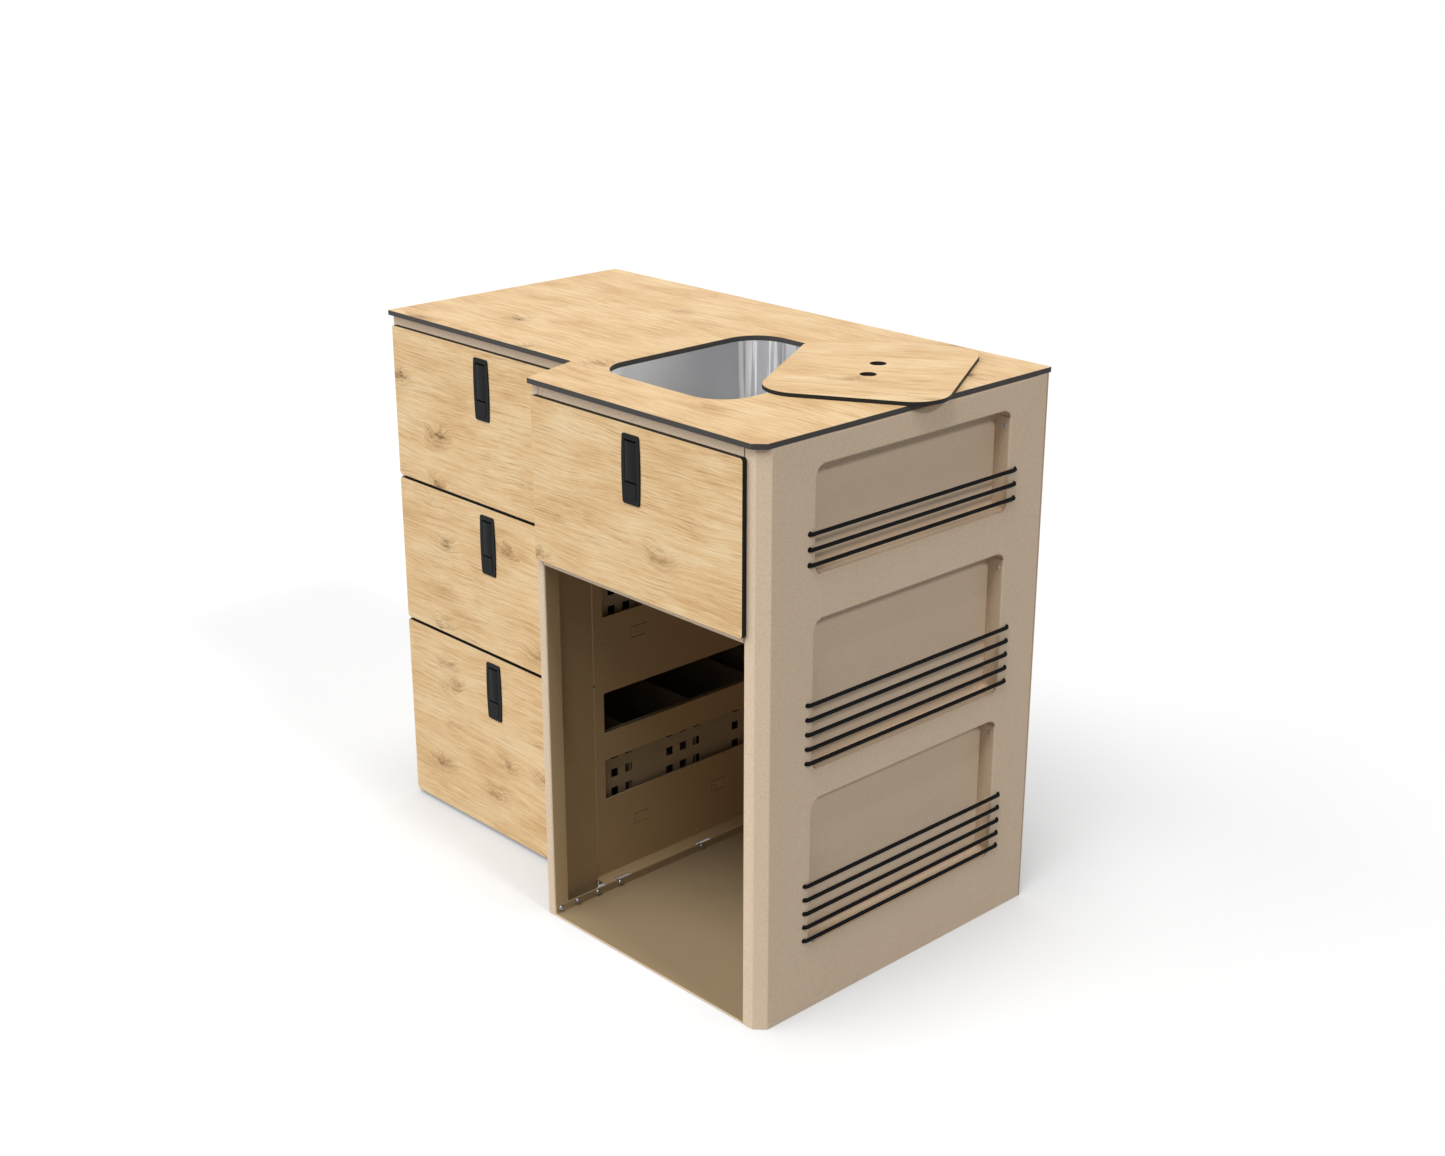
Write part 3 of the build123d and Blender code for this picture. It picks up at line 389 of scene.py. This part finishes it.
def makeCoat(name, facts):
    material, shader, place, normal = newMaterial(name)
    grit = place.noise(facts["grit"], facts["detail"], facts["gritRough"])
    soft = place.noise(facts["soft"], facts["detail"])
    blend = grit.above(*facts["gritStep"]) * facts["gritShare"] + soft * (1.0 - facts["gritShare"])
    sheet = blend.mix(facts["base"], facts["deep"])
    bayShadeMask = makeBayShadeMask(place, normal, facts)
    # painted shade: inside the bay the coat is multiplied by the darker bay colour
    feed(shader, "Base Color", bayShadeMask.mix(sheet, sheet.colours("MULTIPLY", facts["bay"])))
    feed(shader, "Roughness", facts["roughness"] + centred(grit) * facts["gritRoughness"])
    emboss(shader, grit, facts)
    shader.inputs["Specular IOR Level"].default_value = facts["specular"]
    return material


# Brushed stainless steel of the bowl, with painted reflection and shade: painted pale
# at its near end, painted shade towards the far corner, where painted highlight streaks run down the
# wall
steelFacts = {
    # light is the painted pale reflection of the near end; the darker tone is painted shade and also
    # the brushing's tone
    "light": colour(254, 254, 254),
    "paintedShadeAndBrushTone": colour(190, 191, 193),
    "paintedHighlight": colour(254, 254, 255),
    "brushAcross": 320.0,
    "brushDown": 4.0,
    "brushDetail": 3.0,
    "brushRough": 0.55,
    "brushShare": 0.12,
    "streakAcross": 92.0,
    "streakDown": 0.8,
    "streakStep": (0.52, 0.05),
    "shadeFadeAt": (-0.06, 0.11),
    "highlightsFrom": (0.098, 0.012),
    "roughness": 0.38,
    "brushRoughness": 0.10,
    "streakGloss": 0.04,
    "relief": 0.05,
    "reliefDepth": 0.00005,
}


def makeSteel(name, facts):
    material, shader, place, normal = newMaterial(name)
    x, y, z = (place.part(axis) for axis in "XYZ")
    # stretched downwards, so that both noises follow the upright brushing
    across, down = facts["brushAcross"], facts["brushDown"]
    brushed = place.point(x * across, y * across, z * down)
    brushed = brushed.noise(1.0, facts["brushDetail"], facts["brushRough"])
    across, down = facts["streakAcross"], facts["streakDown"]
    streaks = place.point(x * across, y * across, z * down).noise(1.0).above(*facts["streakStep"])
    # painted reflection and shade: the wall runs from painted pale at its near end to painted shade
    # at the far corner
    wall = y.above(*facts["shadeFadeAt"]).mix(facts["light"], facts["paintedShadeAndBrushTone"])
    highlightCorner = y.above(*facts["highlightsFrom"])
    # painted highlight: bright streaks in the far corner
    shown = (streaks * highlightCorner).mix(wall, facts["paintedHighlight"])
    feed(shader, "Base Color", (brushed * facts["brushShare"]).mix(shown, facts["paintedShadeAndBrushTone"]))
    rough = facts["roughness"] + centred(brushed) * facts["brushRoughness"]
    feed(shader, "Roughness", rough - streaks * facts["streakGloss"])
    emboss(shader, brushed, facts)
    shader.inputs["Metallic"].default_value = 1.0
    return material


# Zinc-plated steel of runners, clips, bolts and screws
zincFacts = {
    "base": colour(188, 190, 194),
    "dark": colour(150, 152, 158),
    "spangle": 160.0,
    "spangleDetail": 4.0,
    "spangleRough": 0.6,
    "fine": 1400.0,
    "roughness": 0.34,
    "spangleRoughness": 0.2,
    "relief": 0.12,
    "reliefDepth": 0.00008,
}


def makeZinc(name, facts):
    material, shader, place, normal = newMaterial(name)
    spangle = place.noise(facts["spangle"], facts["spangleDetail"], facts["spangleRough"])
    feed(shader, "Base Color", spangle.mix(facts["base"], facts["dark"]))
    feed(shader, "Roughness", facts["roughness"] + centred(spangle) * facts["spangleRoughness"])
    emboss(shader, place.noise(facts["fine"]), facts)
    shader.inputs["Metallic"].default_value = 1.0
    return material


# Moulded plastic of the handles and of the waste elbow
plasticFacts = {
    "base": colour(6, 7, 8),
    "worn": colour(16, 17, 19),
    "spark": 1900.0,
    "sparkRough": 0.6,
    "smear": 22.0,
    "smearRough": 0.55,
    "smearShare": 0.6,
    "detail": 3.0,
    "roughness": 0.5,
    "smearRoughness": 0.18,
    "sparkRoughness": 0.1,
    "relief": 0.16,
    "reliefDepth": 0.00009,
    "specular": 0.12,
}
greyFacts = dict(plasticFacts, base=colour(160, 162, 164), worn=colour(176, 178, 180))


def makePlastic(name, facts):
    material, shader, place, normal = newMaterial(name)
    spark = place.noise(facts["spark"], facts["detail"], facts["sparkRough"])
    smear = place.noise(facts["smear"], facts["detail"], facts["smearRough"])
    worn = smear * facts["smearShare"] + spark * (1.0 - facts["smearShare"])
    feed(shader, "Base Color", worn.mix(facts["base"], facts["worn"]))
    rough = facts["roughness"] + centred(smear) * facts["smearRoughness"]
    feed(shader, "Roughness", rough + centred(spark) * facts["sparkRoughness"])
    emboss(shader, spark, facts)
    shader.inputs["Specular IOR Level"].default_value = facts["specular"]
    return material


# Braided sheath of the elastic cords: two sets of crossing strands
elasticFacts = {
    "base": colour(3, 3, 4),
    "lit": colour(12, 12, 13),
    "pitch": 1500.0,
    "strands": 6.0,
    "fuzz": 2600.0,
    "fuzzDetail": 3.0,
    "fuzzRough": 0.6,
    "braidShare": 0.6,
    "roughness": 0.75,
    "fuzzRoughness": 0.2,
    "fuzzRelief": 0.3,
    "relief": 0.5,
    "reliefDepth": 0.0003,
    "specular": 0.1,
}


def makeElastic(name, facts):
    material, shader, place, normal = newMaterial(name)
    around = normal.part("X").maths("ARCTAN2", normal.part("Z")) * facts["strands"]
    length = place.part("Y") * facts["pitch"]
    braid = (length + around).sine() * (length - around).sine() * 0.5 + 0.5
    fuzz = place.noise(facts["fuzz"], facts["fuzzDetail"], facts["fuzzRough"])
    lit = braid * facts["braidShare"] + fuzz * (1.0 - facts["braidShare"])
    feed(shader, "Base Color", lit.mix(facts["base"], facts["lit"]))
    feed(shader, "Roughness", facts["roughness"] + centred(fuzz) * facts["fuzzRoughness"])
    emboss(shader, braid + fuzz * facts["fuzzRelief"], facts)
    shader.inputs["Specular IOR Level"].default_value = facts["specular"]
    return material


# Which finish each CAD node wears
dressFacts = {
    "lidTurn": 30.0,
    "worktopSeed": 3.0,
    "lidSeed": 8.0,
    "frontSeed": 12.0,
    "frontSeedStep": 5.0,
    "creaseAngle": 32.0,
}


def paint(node, material):
    data = nodes[node].data
    data.materials.clear()
    data.materials.append(material)


def dressNodes(facts):
    bySlot = {
        "beige_powder_coat": makeCoat("powderCoat", coatFacts),
        "sink_steel": makeSteel("bowlSteel", steelFacts),
        "zinc_steel": makeZinc("zincPlate", zincFacts),
        "black_plastic": makePlastic("handlePlastic", plasticFacts),
        "grey_plastic": makePlastic("wastePlastic", greyFacts),
        "black_elastic": makeElastic("braidedElastic", elasticFacts),
    }
    for entry in frame["record"]["subparts"]:
        if entry["material_slot"] in bySlot:
            paint(entry["node"], bySlot[entry["material_slot"]])
    print("coat, metal, plastic and elastic on their nodes")

    # the drawer boxes and dividers wear the darker coat, a painted shade
    box = makeCoat("boxCoatPaintedShade", shadedBoxFacts)
    for name in ["drawer_box_" + drawer for drawer in drawerNames] + ["drawer_dividers"]:
        paint(name, box)
    # the bay floor tray wears its own painted shade
    paint("bay_floor_tray", makeCoat("trayCoatPaintedShade", shadedTrayFacts))
    print("drawer boxes and bay floor coated")

    paint("worktop", makeOak("oakWorktop", "Z", facts["worktopSeed"], "worktop"))
    turn = math.radians(facts["lidTurn"])
    paint("sink_lid", makeOak("oakLid", "Z", facts["lidSeed"], "lid", turn))
    for place, name in enumerate(drawerNames):
        seed = facts["frontSeed"] + place * facts["frontSeedStep"]
        paint("front_" + name, makeOak("oakFront_" + name, "Y", seed, "front"))
    print("oak on the worktop, its lid and", len(drawerNames), "fronts")


def smoothNodes(facts):
    # curved faces shade smoothly, while flat ones and folds stay crisp
    limit = math.radians(facts["creaseAngle"])
    for node in nodes.values():
        node.data.shade_smooth()
        node.data.set_sharp_from_angle(angle=limit)
    print("smooth shading set")


# Floor and light. The seen floor is white, and a little darker where the unit
# stands close over it. Other rays meet a greyer floor, which throws less light up
studioFacts = {
    "floorSize": 14.0,
    "floorDrop": 0.0004,
    "floorColour": colour(140, 140, 140),
    "floorSeen": 0.97,
    "floorGlow": 0.45,
    "contactDepth": 0.5,
    "contactReach": 0.28,
    "worldStrength": 0.17,
    "keySun": {"strength": 1.97, "angle": 30.0, "source": (0.14, -0.44, 0.88)},
    "frontSun": {"strength": 1.88, "angle": 60.0, "source": (-0.48, -0.75, 0.42)},
    "sideSun": {"strength": 0.95, "angle": 8.0, "source": (0.78, -0.05, 0.62)},
}


def grey(level):
    return [level, level, level, 1.0]


def seenRays(start):
    # 1 for the rays that show a background: straight, mirrored and through glass
    rays = start.node("ShaderNodeLightPath").socket.node.outputs
    camera, glossy, through = (
        Wire(start.tree, rays[name])
        for name in ("Is Camera Ray", "Is Glossy Ray", "Is Transmission Ray")
    )
    return camera.maths("MAXIMUM", glossy).maths("MAXIMUM", through)


def makeFloor(facts):
    half = facts["floorSize"] / 2
    low = -facts["floorDrop"]
    corners = [(-half, -half, low), (half, -half, low), (half, half, low), (-half, half, low)]
    data = bpy.data.meshes.new("floor")
    data.from_pydata(corners, [], [(0, 1, 2, 3)])
    floor = bpy.data.objects.new("floor", data)
    bpy.context.collection.objects.link(floor)
    material = bpy.data.materials.new("paleFloor")
    material.use_nodes = True
    material.node_tree.nodes.clear()
    start = Wire(material.node_tree)
    # part of the seen floor shines by itself, which keeps the shadows on it light
    lit = start.node("ShaderNodeBsdfDiffuse", sockets={"Color": grey(facts["floorSeen"])})
    glow = start.node("ShaderNodeEmission", sockets={"Color": grey(facts["floorSeen"])})
    white = start.node("ShaderNodeMixShader", sockets={0: facts["floorGlow"], 1: lit, 2: glow})
    # the contact shade mixes in the empty second shader, which is black
    reach = {"Distance": facts["contactReach"]}
    clear = start.node("ShaderNodeAmbientOcclusion", sockets=reach, out=1)
    shade = (1.0 - clear) * facts["contactDepth"]
    seen = start.node("ShaderNodeMixShader", sockets={0: shade, 1: white})
    plain = start.node("ShaderNodeBsdfDiffuse", sockets={"Color": facts["floorColour"]})
    both = start.node("ShaderNodeMixShader", sockets={0: seenRays(start), 1: plain, 2: seen})
    start.node("ShaderNodeOutputMaterial", sockets={"Surface": both})
    data.materials.append(material)
    print("floor laid")


def makeWorld(facts):
    world = bpy.data.worlds.new("studio")
    bpy.context.scene.world = world
    world.use_nodes = True
    world.node_tree.nodes.clear()
    start = Wire(world.node_tree)
    dim = start.node("ShaderNodeBackground", sockets={0: grey(1.0), 1: facts["worldStrength"]})
    full = start.node("ShaderNodeBackground", sockets={0: grey(1.0), 1: 1.0})
    both = start.node("ShaderNodeMixShader", sockets={0: seenRays(start), 1: dim, 2: full})
    start.node("ShaderNodeOutputWorld", sockets={"Surface": both})
    print("white background set")


def aim(thing, direction):
    thing.rotation_euler = Vector(direction).to_track_quat("-Z", "Y").to_euler()


def makeSun(name, facts):
    data = bpy.data.lights.new(name, "SUN")
    data.energy = facts["strength"]
    data.angle = math.radians(facts["angle"])
    sun = bpy.data.objects.new(name, data)
    bpy.context.collection.objects.link(sun)
    aim(sun, [-value for value in facts["source"]])


def makeLights(facts):
    for name in ("keySun", "frontSun", "sideSun"):
        makeSun(name, facts[name])
    print("lights placed")


makeCamera(cameraFacts)
makeFloor(studioFacts)
makeWorld(studioFacts)
makeLights(studioFacts)
smoothNodes(dressFacts)
dressNodes(dressFacts)
bpy.context.scene.view_settings.view_transform = "Standard"
